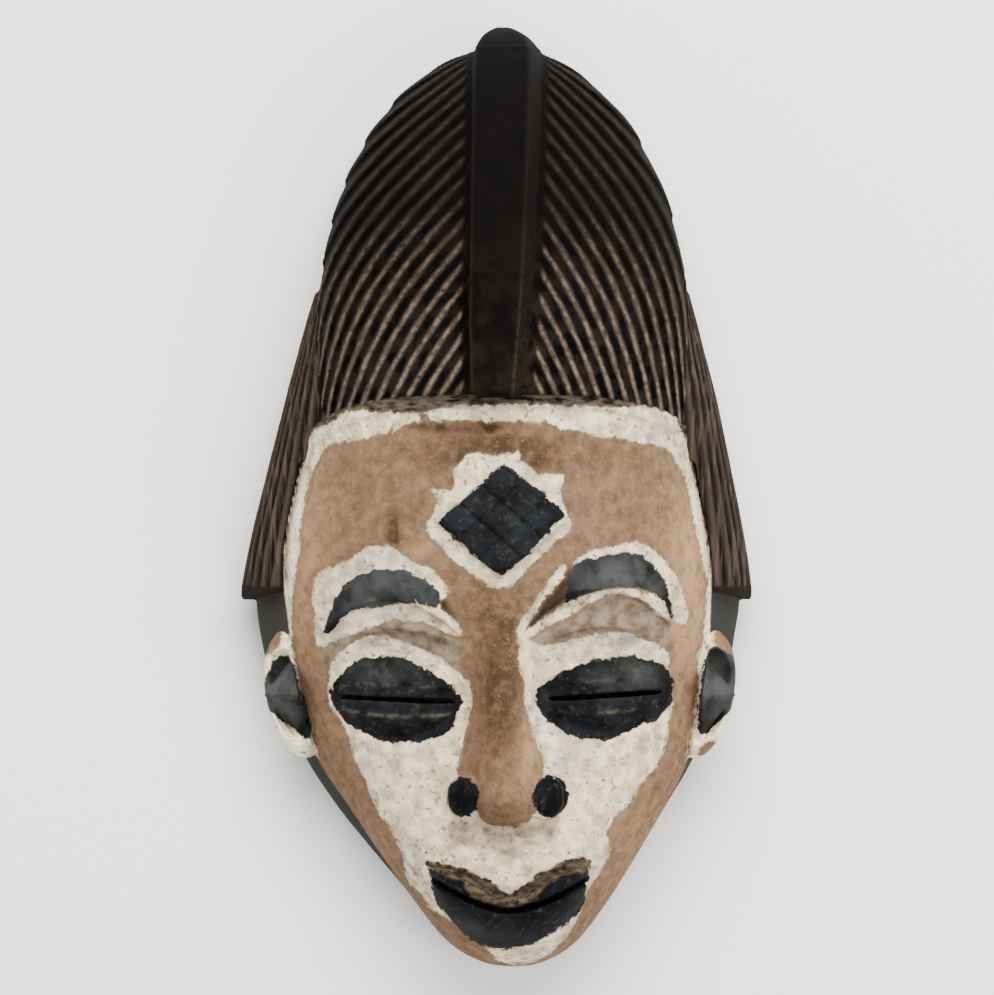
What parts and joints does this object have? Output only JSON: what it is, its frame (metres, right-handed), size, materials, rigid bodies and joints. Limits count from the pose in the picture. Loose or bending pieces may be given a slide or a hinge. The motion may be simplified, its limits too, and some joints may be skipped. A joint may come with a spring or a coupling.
{
  "type": "carved wooden face mask",
  "caption": "Long oval carved wooden mask with a braided, crested coiffure, side tresses, slit eyes, full lips and a hollow back.",
  "frame": {"origin": "middle of the bounding box in the back plane, which the rim rests on", "axes": "+Z out of the face, +Y towards the crown of the head, +X to the viewer's right"},
  "size_m": [0.1846, 0.34, 0.1065],
  "materials": {
    "painted_wood": "matt carved light wood, painted with white clay, ochre and black, and worn"
  },
  "bodies": {
    "root": {"mask": "painted_wood"}
  },
  "joints": []
}
